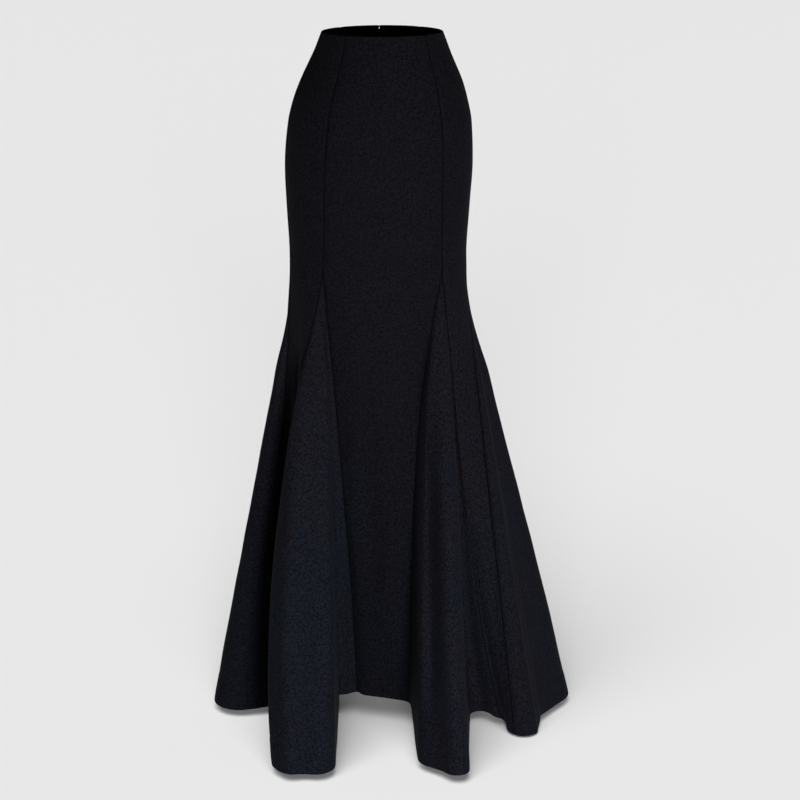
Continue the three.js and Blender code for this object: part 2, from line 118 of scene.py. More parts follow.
def make_studio():
    """A broad low softbox in front, weaker lights from the right and the back, and a pale floor."""
    world = bpy.data.worlds.new("studio")
    world.use_nodes = True
    seen = add_node(world.node_tree, "ShaderNodeLightPath").outputs["Is Camera Ray"]
    strength = span(world.node_tree, seen, 0, 1, AMBIENT, BACKDROP)
    background = world.node_tree.nodes["Background"]
    world.node_tree.links.new(strength, background.inputs["Strength"])
    background.inputs["Color"].default_value = (0.98, 0.99, 1.0, 1)
    scene.world = world
    white, warm, cool = (1.0, 1.0, 1.0), (1.0, 0.98, 0.97), (1.0, 0.98, 1.0)
    key = add_softbox(
        "key",
        place=(0.2, -2.35, -0.66),
        aim=(0, -0.1, -0.6),
        size=(0.5, 0.6),
        power=29,
        colour=(1.0, 0.99, 0.98),
    )
    side = add_sun("side", toward=(55, 16), strength=0.13, spread=30, colour=warm)
    top = add_sun("top", toward=(80, 45), strength=0.12, spread=30, colour=cool)
    back = add_sun("back", toward=(168, 16), strength=1.7, spread=20, colour=white)
    back.visible_glossy = False  # it would draw a bright line round the cloth
    above = add_sun("above", toward=(-20, 64), strength=2.5, spread=50, colour=white)
    along = add_sun("along", toward=(-4, 12), strength=2.4, spread=24, colour=white)
    level = cad_box[0].z - FLOOR_GAP
    mesh = bpy.data.meshes.new("floor")
    corners = [(FLOOR_HALF * x, FLOOR_HALF * y, level) for x, y in ((-1, -1), (1, -1), (1, 1), (-1, 1))]
    mesh.from_pydata(corners, [], [(0, 1, 2, 3)])
    floor = link("floor", mesh)
    floor.visible_diffuse = False  # so that the floor's brightness doesn't wash out the black cloth
    paint = bpy.data.materials.new("floor")
    paint.use_nodes = True
    shader = paint.node_tree.nodes["Principled BSDF"]
    shader.inputs["Base Color"].default_value = (0.9, 0.9, 0.9, 1)
    shader.inputs["Roughness"].default_value = 0.9
    shader.inputs["Specular IOR Level"].default_value = 0.1
    mesh.materials.append(paint)
    # two lights fall on the floor alone, and the others on all but the floor
    for name, lights, state in (
        ("floor_only", [above, along], "INCLUDE"),
        ("all_but_floor", [key, side, top, back], "EXCLUDE"),
    ):
        group = bpy.data.collections.new(name)
        group.objects.link(floor)
        group.collection_objects[0].light_linking.link_state = state
        for light in lights:
            light.light_linking.receiver_collection = group


# ---------------------------------------------------------------- materials


def new_material(name):
    made = bpy.data.materials.new(name)
    made.use_nodes = True
    tree = made.node_tree
    return made, tree, tree.nodes["Principled BSDF"]


def add_node(tree, kind, inputs=None, **settings):
    node = tree.nodes.new(kind)
    for key, value in settings.items():
        setattr(node, key, value)
    for key, value in (inputs or {}).items():
        if hasattr(value, "is_linked"):
            tree.links.new(value, node.inputs[key])
        else:
            node.inputs[key].default_value = value
    return node


def noise(tree, place, scale, detail=2.0, roughness=0.5):
    inputs = {"Vector": place, "Scale": scale, "Detail": detail, "Roughness": roughness}
    return add_node(tree, "ShaderNodeTexNoise", inputs).outputs["Fac"]


def span(tree, value, low, high, start, end):
    """Maps value from low..high to start..end, and holds it outside them."""
    inputs = {"Value": value, "From Min": low, "From Max": high, "To Min": start, "To Max": end}
    return add_node(tree, "ShaderNodeMapRange", inputs).outputs["Result"]


def blend_colours(tree, share, one, other):
    node = add_node(tree, "ShaderNodeMix", data_type="RGBA")
    tree.links.new(share, node.inputs["Factor"])
    for socket, value in ((node.inputs[6], one), (node.inputs[7], other)):
        if hasattr(value, "is_linked"):
            tree.links.new(value, socket)
        else:
            socket.default_value = value
    return node.outputs[2]


def bump(tree, height, distance, strength, under=None):
    inputs = {"Height": height, "Distance": distance, "Strength": strength}
    if under is not None:
        inputs["Normal"] = under
    return add_node(tree, "ShaderNodeBump", inputs).outputs["Normal"]


def combine(tree, one, other, operation="ADD"):
    return add_node(tree, "ShaderNodeMath", {0: one, 1: other}, operation=operation).outputs[0]


def set_tone(tree, shader, share, dark, light):
    """The base colour between two opaque colours."""
    tree.links.new(blend_colours(tree, share, (*dark, 1), (*light, 1)), shader.inputs["Base Color"])


HIP_COLOUR, NAVY_COLOUR = np.array([0.0093, 0.0085, 0.0124]), np.array([0.0074, 0.0094, 0.0152])
GRAIN, PEBBLES, FIBRES = 340, 900, 2600  # the sizes of the crepe's texture, as scales of noise


def crepe_material_with_painted_light(name, flare):
    """Matt black crepe with a pebbled grain: grey violet, with navy patches low down, left most of all.

    Below the hip its colours are "flare" times as strong: painted light, where the flare faces up into the
    light.
    """
    made, tree, shader = new_material(name)
    place = add_node(tree, "ShaderNodeTexCoord").outputs["Object"]
    parts = add_node(tree, "ShaderNodeSeparateXYZ", {"Vector": place}).outputs
    streaks = add_node(tree, "ShaderNodeMapping", {"Vector": place, "Scale": (1, 1, 0.3)}).outputs["Vector"]
    patches = span(tree, noise(tree, streaks, 14, 2, 0.6), 0.35, 0.65, -0.5, 0.5)
    down = combine(tree, span(tree, parts["Z"], -0.35, -0.9, -0.45, 0.7), patches)
    leftwards = span(tree, parts["X"], 0.14, -0.1, -0.25, 0.2)
    navy = span(tree, combine(tree, down, leftwards), 0.1, 0.9, 0, 1)
    # painted light: below the hip the colour is "flare" times as strong
    hip, lower = (*HIP_COLOUR, 1), (*HIP_COLOUR * flare, 1)
    navy_colour = (*NAVY_COLOUR * flare, 1)
    cloth = blend_colours(tree, span(tree, parts["Z"], -0.34, -0.46, 0, 1), hip, lower)
    cloth = blend_colours(tree, navy, cloth, navy_colour)
    grain = noise(tree, place, GRAIN, 2, 0.65)
    speckle = span(tree, grain, 0.36, 0.64, 0.28, 1.72)
    # painted shade: the colour is darker along the seams' pressed-in lines
    painted_shade_in_seam = add_node(tree, "ShaderNodeAttribute", attribute_name="painted_seam_shade").outputs["Fac"]
    speckle = combine(tree, speckle, painted_shade_in_seam, "MULTIPLY")
    shaded = add_node(tree, "ShaderNodeVectorMath", {0: cloth}, operation="SCALE")
    tree.links.new(speckle, shaded.inputs["Scale"])
    tree.links.new(shaded.outputs[0], shader.inputs["Base Color"])
    tree.links.new(span(tree, grain, 0.3, 0.7, 0.78, 0.96), shader.inputs["Roughness"])
    pebbles = bump(tree, noise(tree, place, PEBBLES, 2, 0.6), 0.0003, 0.55)
    fibres = bump(tree, noise(tree, place, FIBRES, 1), 0.00012, 0.4, pebbles)
    tree.links.new(fibres, shader.inputs["Normal"])
    shader.inputs["Specular IOR Level"].default_value = 0.08
    shader.inputs["Sheen Weight"].default_value = 0.008
    shader.inputs["Sheen Roughness"].default_value = 0.5
    shader.inputs["Sheen Tint"].default_value = (0.75, 0.8, 1.0, 1)
    return made


def tape_material():
    """The zip's tape: fine black herringbone ribs."""
    made, tree, shader = new_material("zip_tape")
    place = add_node(tree, "ShaderNodeTexCoord").outputs["Object"]
    inputs = {"Vector": place, "Scale": 420, "Distortion": 1.2, "Detail": 1}
    ribs = add_node(tree, "ShaderNodeTexWave", inputs, bands_direction="DIAGONAL").outputs["Fac"]
    set_tone(tree, shader, ribs, (0.005, 0.005, 0.006), (0.011, 0.011, 0.013))
    tree.links.new(span(tree, ribs, 0, 1, 0.9, 0.7), shader.inputs["Roughness"])
    tree.links.new(bump(tree, ribs, 0.0002, 0.6), shader.inputs["Normal"])
    shader.inputs["Specular IOR Level"].default_value = 0.25
    return made


def coil_material():
    """The zip's coil: smooth black nylon."""
    made, tree, shader = new_material("zip_coil")
    place = add_node(tree, "ShaderNodeTexCoord").outputs["Object"]
    grain = noise(tree, place, 900)
    set_tone(tree, shader, grain, (0.006, 0.006, 0.007), (0.014, 0.014, 0.016))
    tree.links.new(span(tree, grain, 0.3, 0.7, 0.35, 0.5), shader.inputs["Roughness"])
    return made


def lacquer_material():
    """The slider and its pull: black lacquer on metal, rubbed a little where it is handled."""
    made, tree, shader = new_material("zip_metal")
    place = add_node(tree, "ShaderNodeTexCoord").outputs["Object"]
    wear = noise(tree, place, 260, 4, 0.65)
    set_tone(tree, shader, span(tree, wear, 0.55, 0.75, 0, 1), (0.009, 0.009, 0.01), (0.03, 0.03, 0.032))
    tree.links.new(span(tree, wear, 0.3, 0.75, 0.26, 0.5), shader.inputs["Roughness"])
    tree.links.new(bump(tree, noise(tree, place, 1400, 2), 0.00006, 0.35), shader.inputs["Normal"])
    shader.inputs["Metallic"].default_value = 0.55
    shader.inputs["Coat Weight"].default_value = 0.4
    shader.inputs["Coat Roughness"].default_value = 0.12
    return made


# ---------------------------------------------------------------- the form, as in part.mjs

LENGTH = 1.170
CLOTH = 0.0015  # its thickness
SEAM_GAP = 0.0003  # between the solids of the CAD
STITCHED_GAP = 0.00003  # a sewn seam shows no light
RIDGE, VALLEY = 1, -1

# The fitted part in level sections: an oval of that half width, and of that depth in front of and
# behind its centre. "seam" is the princess seams' turn from the centre front, in degrees.
BODY_COLUMNS = ("z", "half", "front", "back", "shift", "seam")
BODY = np.array([
    (0, 0.096, 0.076, 0.080, 0, 41),
    (-0.034, 0.110, 0.083, 0.089, -0.0005, 39.5),
    (-0.078, 0.1295, 0.091, 0.101, -0.0015, 38.5),
    (-0.110, 0.140, 0.096, 0.110, -0.003, 38.5),
    (-0.142, 0.147, 0.099, 0.117, -0.004, 38.5),
    (-0.206, 0.151, 0.102, 0.125, -0.006, 39),
    (-0.272, 0.1485, 0.102, 0.122, -0.007, 40),
    (-0.338, 0.1445, 0.101, 0.115, -0.0075, 41.5),
    (-0.400, 0.1445, 0.101, 0.113, -0.008, 43),
])

# The hem from above, counterclockwise from the left corner of the centre front: circles that it
# turns round, with a straight from each to the next. Columns: where, bend, x, y, radius, lift.
FOLDS = [
    ("front hollow, left corner", VALLEY, -0.057, -0.032, 0.022, 0.030),
    ("front hollow, right corner", VALLEY, 0.020, -0.062, 0.022, 0.030),
    ("right front flute, inner corner", RIDGE, 0.077, -0.203, 0.034, 0),
    ("right front flute, tip", RIDGE, 0.103, -0.240, 0.021, 0),
    ("hollow beside the right front flute", VALLEY, 0.163, -0.058, 0.018, 0.004),
    ("small right flute", RIDGE, 0.234, -0.086, 0.027, -0.010),
    ("dip beside the small flute", VALLEY, 0.283, -0.064, 0.016, 0),
    ("right side flute", RIDGE, 0.276, 0.038, 0.054, 0),
    ("right back hollow", VALLEY, 0.236, 0.142, 0.020, 0.010),
    ("right back flute, outer corner", RIDGE, 0.214, 0.226, 0.036, -0.006),
    ("right back flute, inner corner", RIDGE, 0.158, 0.258, 0.034, -0.008),
    ("centre back hollow, right", VALLEY, 0.092, 0.112, 0.024, 0.008),
    ("centre back fold", RIDGE, 0.014, 0.066, 0.062, 0.004),
    ("centre back hollow, left", VALLEY, -0.074, 0.118, 0.020, 0.008),
    ("left back flute, inner corner", RIDGE, -0.146, 0.246, 0.040, -0.010),
    ("left back flute, outer corner", RIDGE, -0.206, 0.214, 0.032, -0.006),
    ("left back hollow", VALLEY, -0.234, 0.142, 0.018, 0.006),
    ("left side flute, back corner", RIDGE, -0.262, 0.084, 0.033, 0),
    ("left side flute, front corner", RIDGE, -0.249, 0.048, 0.047, 0),
    ("hollow beside the left front flute", VALLEY, -0.176, -0.004, 0.014, 0.004),
    ("left front flute, outer corner", RIDGE, -0.158, -0.202, 0.040, 0),
    ("left front flute, inner corner", RIDGE, -0.126, -0.214, 0.033, 0),
]

# The seams, counterclockwise. "turn" and "top" place the godet's point on the body, "start" and
# "end" its corners at the hem, and "face" the way its flute points. "fall" and the two spreads say
# how early the flute stands out and the seams go sideways. The centre back seam has no godet.
SEAM_COLUMNS = ("godet", "turn", "top", "face", "fall", "start", "end", "spread_start", "spread_end")
SEAM_ROWS = (
    ("front_right", 43, -0.365, -88, (0.2, 0.62), (0.042, -0.078), (0.19, -0.07), (1.15, 1.0), (0.33, 0.35)),
    ("side_right", 82, -0.38, -2, (0.32, 0.68), (0.213, -0.11), (0.222, 0.128), (0.45, 0.7), (0.4, 0.75)),
    ("back_right", 138, -0.378, 62, (0.22, 0.64), (0.222, 0.176), (0.098, 0.09), (0.6, 0.9), (0.6, 0.9)),
    (None, 180, -0.37, 90, (0.25, 0.66), (0.012, 0.128), (0.012, 0.128), (0.4, 0.7), (0.4, 0.7)),
    ("back_left", 222, -0.378, 117, (0.22, 0.64), (-0.078, 0.098), (-0.216, 0.166), (0.6, 0.9), (0.6, 0.9)),
    ("side_left", 279, -0.38, 182, (0.3, 0.67), (-0.224, 0.126), (-0.202, 0.012), (0.4, 0.75), (0.6, 0.9)),
    ("front_left", 320, -0.365, 268, (0.2, 0.62), (-0.182, -0.09), (-0.049, -0.012), (0.85, 1.35), (0.5, 0.8)),
)
SEAMS = [dict(zip(SEAM_COLUMNS, row)) for row in SEAM_ROWS]
PANELS = (
    "side_front_right", "side_back_right", "back_right", "back_left",
    "side_back_left", "side_front_left", "front",
)
FLARE_SOFTNESS = 0.03  # how gently the flare starts, as a share of its height
FLAT_END = 0.24  # a godet is flat above this share of the flare
FRONT_SEAMS = 60  # a seam within this turn of the centre front is a front one


def mix(a, b, share):
    return a + (b - a) * share


def smooth(value, low, high):
    t = np.clip((value - low) / (high - low), 0, 1)
    return t * t * (3 - 2 * t)


def body_size(z, name):
    """A column of the body table at height z, on a smooth curve through its rows."""
    heights, values = BODY[:, 0], BODY[:, BODY_COLUMNS.index(name)]
    last = len(heights) - 1
    k = np.clip(np.searchsorted(-heights, -z, side="right") - 1, 0, last - 1)
    before, after = np.maximum(np.arange(last + 1) - 1, 0), np.minimum(np.arange(last + 1) + 1, last)
    slopes = (values[after] - values[before]) / (heights[after] - heights[before])
    step = heights[k + 1] - heights[k]
    t = (z - heights[k]) / step
    start = values[k] * (1 + 2 * t) * (1 - t) ** 2 + slopes[k] * step * t * (1 - t) ** 2
    return start + values[k + 1] * t * t * (3 - 2 * t) + slopes[k + 1] * step * t * t * (t - 1)


def body_point(turn, z):
    """The point of the body at a turn in degrees from the centre front, and at height z."""
    a = np.radians(turn)
    depth = np.where(np.cos(a) > 0, body_size(z, "front"), body_size(z, "back"))
    x = body_size(z, "shift") + body_size(z, "half") * np.sin(a)
    return np.stack(np.broadcast_arrays(x, -depth * np.cos(a), z), -1)


def trace_hem(step=0.0005):
    """The hem's length along it, and its x, y and z there, every half millimetre."""
    tangents = []
    for i, (_, bend, x, y, radius, _) in enumerate(FOLDS):
        _, bend_next, x_next, y_next, radius_next, _ = FOLDS[(i + 1) % len(FOLDS)]
        way = math.hypot(x_next - x, y_next - y)
        grow = bend_next * radius_next - bend * radius
        tangents.append(math.atan2(y_next - y, x_next - x) - math.asin(grow / way))

    def on_circle(fold, heading):
        _, bend, x, y, radius, _ = fold
        return np.stack([x + bend * radius * np.sin(heading), y - bend * radius * np.cos(heading)], -1)

    points, lifts = [], []
    for i, fold in enumerate(FOLDS):
        _, bend, _, _, radius, lift = fold
        after = FOLDS[(i + 1) % len(FOLDS)]
        turned = ((tangents[i] - tangents[i - 1]) * bend) % (2 * math.pi)
        count = max(2, int(turned * radius / step))
        arc = on_circle(fold, tangents[i - 1] + bend * turned * np.arange(count) / count)
        start, end = on_circle(fold, tangents[i]), on_circle(after, tangents[i])
        count = max(2, int(np.linalg.norm(end - start) / step))
        share = np.arange(count) / count
        points += [arc, start + (end - start) * share[:, None]]
        lifts += [np.full(len(arc), lift), mix(lift, after[5], smooth(share, 0, 1))]
    points, lifts = np.concatenate(points), np.concatenate(lifts)
    points, lifts = np.append(points, points[:1], 0), np.append(lifts, lifts[0])
    along = np.concatenate([[0], np.cumsum(np.linalg.norm(np.diff(points, axis=0), axis=1))])
    return along, points[:, 0], points[:, 1], lifts - LENGTH


HEM = trace_hem()
HEM_LENGTH = HEM[0][-1]


def hem_at(along):
    return np.stack([np.interp(along % HEM_LENGTH, HEM[0], values) for values in HEM[1:]], -1)


def hem_near(place):
    return HEM[0][np.argmin((HEM[1] - place[0]) ** 2 + (HEM[2] - place[1]) ** 2)]


def list_pieces():
    """The godets and panels in their order round the skirt, each between two edges."""
    pieces, last = [], -math.inf
    for i, seam in enumerate(SEAMS):
        after = SEAMS[(i + 1) % len(SEAMS)]
        wrap = i + 1 == len(SEAMS)
        alongs = []
        for place in (seam["start"], seam["end"]):
            along = hem_near(place)
            while along < last:
                along += HEM_LENGTH
            alongs.append(along)
            last = along
        first = {**seam, "along": alongs[0], "spread": seam["spread_start"]}
        second = {**seam, "along": alongs[1], "spread": seam["spread_end"]}
        if seam["godet"]:
            pieces.append({"name": "godet_" + seam["godet"], "first": first, "second": second, "godet": True})
        following = {
            **after,
            "turn": after["turn"] + 360 * wrap,
            "face": after["face"] + 360 * wrap,
            "along": hem_near(after["start"]) + HEM_LENGTH * wrap,
            "spread": after["spread_start"],
        }
        pieces.append({"name": PANELS[i], "first": second, "second": following, "godet": False})
    return pieces


def easing(t, early, late):
    s = t * t * (1 + FLARE_SOFTNESS) / (t + FLARE_SOFTNESS)
    return 3 * (1 - s) ** 2 * s * early + 3 * (1 - s) * s * s * late + s**3


def fall_point(piece, share, t):
    """The point at a share of the piece's width and at t of the flare, 0 at its top and 1 at the hem."""
    one, two = piece["first"], piece["second"]
    between = lambda name: mix(one[name], two[name], share)
    pair = lambda name: [mix(one[name][k], two[name][k], share) for k in (0, 1)]
    face = np.radians(between("face"))
    out = np.stack([np.cos(face), np.sin(face)], -1)
    aside = np.stack([-np.sin(face), np.cos(face)], -1)
    start = body_point(between("turn"), between("top"))
    end = hem_at(between("along"))
    way = end[..., :2] - start[..., :2]
    stand = (way * out).sum(-1) * easing(t, *pair("fall"))
    spread = (way * aside).sum(-1) * easing(t, *pair("spread"))
    flat = start[..., :2] + stand[..., None] * out + spread[..., None] * aside
    return np.concatenate([flat, mix(start[..., 2], end[..., 2], t)[..., None]], -1)


def flare_point(piece, share, t):
    """As fall_point, but a godet is flat from seam to seam under its point."""
    share, t = np.broadcast_arrays(np.asarray(share, float), np.asarray(t, float))
    folded = fall_point(piece, share, t)
    if not piece["godet"]:
        return folded
    flat = mix(fall_point(piece, 0 * share, t), fall_point(piece, 0 * share + 1, t), share[..., None])
    return mix(flat, folded, smooth(t, 0, FLAT_END)[..., None])


def seam_turn(edge, z):
    """The turn of a seam at height z. Only the front princess seams bend."""
    from_front = (edge["turn"] + 180) % 360 - 180
    if abs(from_front) > FRONT_SEAMS:
        return edge["turn"] + 0 * z
    drift = body_size(z, "seam") - body_size(np.asarray(edge["top"]), "seam")
    return edge["turn"] + math.copysign(1, from_front) * drift


def surface(piece, share, level):
    """The point of a piece. Level 0 is the waist, 1 the height of the godets' points and 2 the hem."""
    share, level = np.broadcast_arrays(np.asarray(share, float), np.asarray(level, float))
    one, two = piece["first"], piece["second"]
    z = np.minimum(level, 1) * mix(one["top"], two["top"], share)
    fitted = body_point(mix(seam_turn(one, z), seam_turn(two, z), share), z)
    return np.where(level[..., None] <= 1, fitted, flare_point(piece, share, np.clip(level - 1, 0, 1)))


PIECES = list_pieces()

# ---------------------------------------------------------------- the cloth's finer shape

HEM_TURNING = 0.045  # the hem is turned up by this much and sewn blind
HEM_LINE, HEM_LINE_WIDTH = 0.0004, 0.0022  # the faint line outside, where the blind stitches hold
HEM_FULLNESS = 0.0003  # the turned-up hem stands out by this much
WAIST_TURNING = 0.018
TURNING_STEP = 0.0006  # over which a turning's cut edge ends
ALLOWANCE, ALLOWANCE_STEP = 0.01, 0.0005  # the seams are pressed open, with this much on each side
LAYER = 0.0006  # what a turned-back layer adds inside
EDGE_ROUND = 0.0011  # the seams' edges roll in over this much, and as deep

# The grid of a piece: columns at these distances from a seam and so many between, and rows at these
# distances from the waist and from the hem.
EDGE_COLUMNS = np.array([0, 0.2, 0.45, 0.8, 1.3, 2.2, 3.6, 5.6, 8.0, 9.7, 10.3, 12.5]) / 1000
GODET_COLUMNS, PANEL_COLUMNS = 96, 20
BEND_LENGTH = 0.05  # a radian of bend in the hem counts as this much length when columns are spaced
WAIST_ROWS = np.array([0, 0.25, 0.6, 1.1, 2, 4, 8, 13, 17.4, 18.6, 22]) / 1000
HEM_ROWS = np.array([
    62, 56, 50, 47, 45.6, 45, 44.4, 43, 40, 34, 27, 20, 13, 8, 4.5, 2.4, 1.3, 0.7, 0.3, 0,
]) / 1000
ROW = 0.0065  # between the other rows
BODY_LENGTH, FLARE_LENGTH = 0.372, 0.81  # about the lengths that one level stands for
GODET_START = 0.014  # of the flare

# How deep the seams pull in, and how much they pucker.
SEAM_DEPTH, SEAM_WIDTH, SEAM_PUCKER = 0.0008, 0.003, 0.00018
PUCKER_LENGTH, PUCKER_CHANGE = 0.011, 0.067
SEAM_BLEND = 0.004  # how far from a seam its shared normal reaches
PAINTED_SEAM_DARKNESS, PAINTED_SHADE_WIDTH = 0.8, 0.0013  # painted shade: the pressed-in line of a seam is painted darker, for the shade in its groove

# Soft creases, each a line on a piece from one (share of width, level) to another, with the width of
# its soft sides and its height. A negative height is a trough.
# Columns: piece, start, end, width, height.
CREASES = [
    # down the front, from between the godets' points
    ("front", (0.17, 1.20), (0.06, 1.80), 0.009, 0.0018),
    ("front", (0.35, 1.16), (0.26, 1.86), 0.010, -0.0022),
    ("front", (0.52, 1.36), (0.44, 1.90), 0.010, 0.0024),
    ("front", (0.70, 1.20), (0.66, 1.70), 0.012, -0.0014),
    ("front", (0.00, 1.50), (0.00, 2.00), 0.009, -0.0070),
    # the left front flute
    ("side_front_left", (0.80, 1.00), (0.86, 1.46), 0.006, 0.0022),
    ("side_front_left", (0.45, 1.04), (0.62, 1.60), 0.009, -0.0050),
    ("godet_front_left", (0.93, 1.50), (0.94, 2.00), 0.008, -0.0060),
    ("godet_front_left", (0.33, 1.20), (0.34, 2.00), 0.014, 0.0050),
    ("godet_front_left", (0.25, 1.28), (0.27, 1.99), 0.013, -0.0070),
    ("godet_front_left", (0.40, 1.45), (0.40, 2.00), 0.012, -0.0010),
    ("godet_front_left", (0.47, 1.30), (0.48, 1.94), 0.010, 0.0016),
    # the right front flute
    ("godet_front_right", (0.40, 1.14), (0.43, 2.00), 0.019, 0.0105),
    ("godet_front_right", (0.29, 1.22), (0.32, 1.99), 0.018, -0.0140),
    # the right side, beside the small flute
    ("side_front_right", (0.00, 1.34), (0.17, 2.00), 0.013, -0.0100),
    ("side_front_right", (0.62, 1.24), (0.60, 1.72), 0.011, 0.0012),
    ("godet_side_right", (0.17, 1.46), (0.17, 2.00), 0.009, -0.0018),
    ("godet_side_right", (0.30, 1.36), (0.28, 1.95), 0.012, 0.0014),
    ("godet_side_right", (0.55, 1.35), (0.58, 1.92), 0.018, 0.0014),
    # the left side
    ("godet_side_left", (0.62, 1.30), (0.60, 1.92), 0.016, 0.0016),
    ("godet_side_left", (0.30, 1.38), (0.33, 2.00), 0.014, -0.0020),
    ("side_back_left", (0.45, 1.20), (0.40, 1.80), 0.014, -0.0018),
    # the back
    ("back_right", (0.30, 1.12), (0.36, 1.75), 0.012, -0.0020),
    ("back_right", (0.72, 1.30), (0.70, 1.90), 0.010, 0.0018),
    ("back_left", (0.62, 1.16), (0.55, 1.82), 0.012, -0.0022),
    ("back_left", (0.30, 1.34), (0.26, 2.00), 0.010, 0.0018),
    ("godet_back_right", (0.30, 1.30), (0.28, 2.00), 0.012, 0.0036),
    ("godet_back_right", (0.64, 1.34), (0.66, 2.00), 0.012, 0.0030),
    ("godet_back_right", (0.47, 1.42), (0.46, 1.95), 0.014, -0.0016),
    ("godet_back_left", (0.33, 1.32), (0.31, 2.00), 0.012, 0.0034),
    ("godet_back_left", (0.68, 1.33), (0.70, 1.96), 0.012, 0.0030),
    ("godet_back_left", (0.52, 1.46), (0.50, 1.90), 0.014, -0.0018),
    ("side_back_right", (0.50, 1.15), (0.55, 1.75), 0.014, 0.0016),
    # soft drags on the hips and under the seat
    ("side_front_right", (0.95, 0.42), (0.10, 0.55), 0.011, -0.0006),
    ("side_front_left", (0.05, 0.46), (0.80, 0.62), 0.011, -0.0006),
    ("back_right", (0.10, 0.80), (0.85, 0.90), 0.013, -0.0009),
    ("back_left", (0.90, 0.78), (0.20, 0.92), 0.013, -0.0009),
    ("side_back_right", (0.20, 0.60), (0.90, 0.72), 0.011, -0.0006),
    ("side_back_left", (0.85, 0.58), (0.15, 0.70), 0.011, -0.0006),
]
# A small swelling over each godet's point, where the allowances end.
POINT_SWELL, POINT_SWELL_SIZE, POINT_SWELL_SQUASH = 0.0011, 0.009, 0.45
UNEVEN, UNEVEN_WAVES, UNEVEN_LENGTHS = 0.00022, 16, (0.05, 0.16)


def row_levels():
    waist = WAIST_ROWS / BODY_LENGTH
    body = np.linspace(waist[-1], 1, 2 + int((1 - waist[-1]) * BODY_LENGTH / ROW))
    hem = 2 - HEM_ROWS / FLARE_LENGTH
    flare = np.linspace(1 + GODET_START, hem[0], 2 + int((hem[0] - 1) * FLARE_LENGTH / ROW))
    return np.concatenate([waist[:-1], body, [1.005], flare[:-1], hem])


LEVELS = row_levels()
FIRST_GODET_ROW = int(np.argmax(LEVELS >= 1 + GODET_START - 1e-9))
SLIDER_Z = -0.009
PARTING, PARTING_END = 0.0015, -0.016  # half the zip's gap round the slider's neck, and where it ends
ZIP_FOOT = (-0.245, -0.232)  # over these heights the allowances take over from the zip's tapes


def column_spacing(piece):
    """Where the columns between the seams stand: closer together in a godet where its hem bends."""
    if not piece["godet"]:
        return np.linspace(0, 1, PANEL_COLUMNS)
    share = np.linspace(0, 1, 400)
    steps = np.diff(hem_at(mix(piece["first"]["along"], piece["second"]["along"], share))[:, :2], axis=0)
    headings = np.unwrap(np.arctan2(steps[:, 1], steps[:, 0]))
    bends = np.abs(np.gradient(headings))
    reach = np.concatenate([[0], np.cumsum(np.hypot(*steps.T) + BEND_LENGTH * bends)])
    return np.interp(np.linspace(0, reach[-1], GODET_COLUMNS), reach, share)


def zip_gap(z):
    """Half the gap of the centre back seam, which parts round the neck of the zip's slider."""
    parted = smooth(z, PARTING_END, SLIDER_Z - 0.003) * (1 - smooth(z, SLIDER_Z + 0.0025, SLIDER_Z + 0.007))
    return mix(STITCHED_GAP / 2, PARTING, parted)


def edge_gaps(piece, z):
    """Half the seam's gap at the piece's first and last edge."""
    plain = np.full_like(z, STITCHED_GAP / 2)
    parted = zip_gap(z)
    return (
        parted if piece["name"] == "back_left" else plain,
        parted if piece["name"] == "back_right" else plain,
    )


def lay_grid(piece):
    """The piece's points, rows from top to bottom, with each point's distance from its two seams."""
    levels = LEVELS[FIRST_GODET_ROW:] if piece["godet"] else LEVELS
    dense = np.linspace(0, 1, 240)
    rough = surface(piece, dense[None, :], levels[:, None])
    lengths = np.linalg.norm(np.diff(rough, axis=1), axis=2)
    reach = np.concatenate([np.zeros((len(levels), 1)), np.cumsum(lengths, 1)], 1)
    inner = column_spacing(piece)[1:-1]
    shares, firsts, lasts = [], [], []
    for row, total, z in zip(reach, reach[:, -1], rough[:, 0, 2]):
        band = EDGE_COLUMNS * min(1, total / (3.2 * EDGE_COLUMNS[-1]))
        gap_first, gap_last = (float(g) for g in edge_gaps(piece, np.asarray(z)))
        gap_first, gap_last = min(gap_first, total * 0.1), min(gap_last, total * 0.1)
        left = np.interp(gap_first + band, row, dense)
        right = np.interp(total - gap_last - band[::-1], row, dense)
        share = np.concatenate([left, mix(left[-1], right[0], inner), right])
        place = np.interp(share, dense, row)
        shares.append(share)
        firsts.append(place - gap_first)
        lasts.append(total - gap_last - place)
    shares = np.array(shares)
    return surface(piece, shares, levels[:, None]), np.array(firsts), np.array(lasts)


def grid_normals(points):
    """Outward normals of a grid, from its neighbours on each side."""
    down = np.empty_like(points)
    down[1:-1], down[0], down[-1] = points[2:] - points[:-2], points[1] - points[0], points[-1] - points[-2]
    across = np.empty_like(points)
    across[:, 1:-1] = points[:, 2:] - points[:, :-2]
    across[:, 0], across[:, -1] = points[:, 1] - points[:, 0], points[:, -1] - points[:, -2]
    normal = np.cross(down, across)
    return normal / np.linalg.norm(normal, axis=2, keepdims=True)


def share_seam_normals(grids):
    """Neighbours take the mean of their normals at their seam, and it fades into each of them."""
    for i, one in enumerate(grids):
        two = grids[(i + 1) % len(grids)]
        rows = min(len(one["normals"]), len(two["normals"]))
        a, b = one["normals"][-rows:, -1].copy(), two["normals"][-rows:, 0].copy()
        mean = (a + b) / 2
        one["turned"] = one.get("turned", 0 * one["normals"])
        two["turned"] = two.get("turned", 0 * two["normals"])
        for grid, change, away in ((one, mean - a, one["to_last"]), (two, mean - b, two["to_first"])):
            fade = np.exp(-((away[-rows:] / SEAM_BLEND) ** 2))
            grid["turned"][-rows:] += change[:, None, :] * fade[..., None]
    for grid in grids:
        normals = grid["normals"] + grid.pop("turned")
        grid["normals"] = normals / np.linalg.norm(normals, axis=2, keepdims=True)


